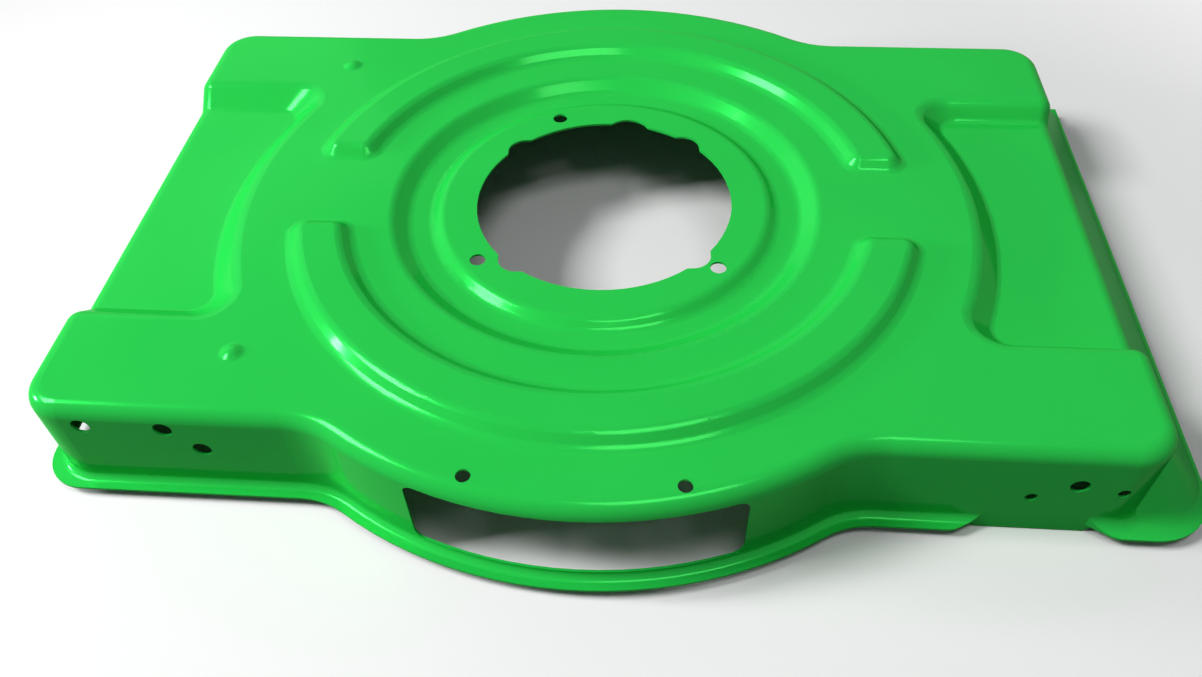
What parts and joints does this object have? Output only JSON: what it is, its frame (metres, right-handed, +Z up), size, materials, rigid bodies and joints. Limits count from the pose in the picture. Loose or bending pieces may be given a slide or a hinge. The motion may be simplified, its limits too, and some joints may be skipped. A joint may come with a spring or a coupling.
{
  "type": "lawn mower deck",
  "caption": "Pressed steel deck of a rotary lawn mower with a round motor opening, raised rings, lowered end shelves, a side discharge window and a turned rim.",
  "frame": {"origin": "centre of the motor opening, on the top face of the motor seat", "axes": "+Z up out of the motor opening, +X along the deck towards the end with the sloped apron, -Y towards the discharge window"},
  "size_m": [0.7025, 0.5188, 0.0815],
  "materials": {
    "deck_paint": "high gloss green powder coat on steel sheet"
  },
  "bodies": {
    "root": {"deck": "deck_paint"}
  },
  "joints": []
}
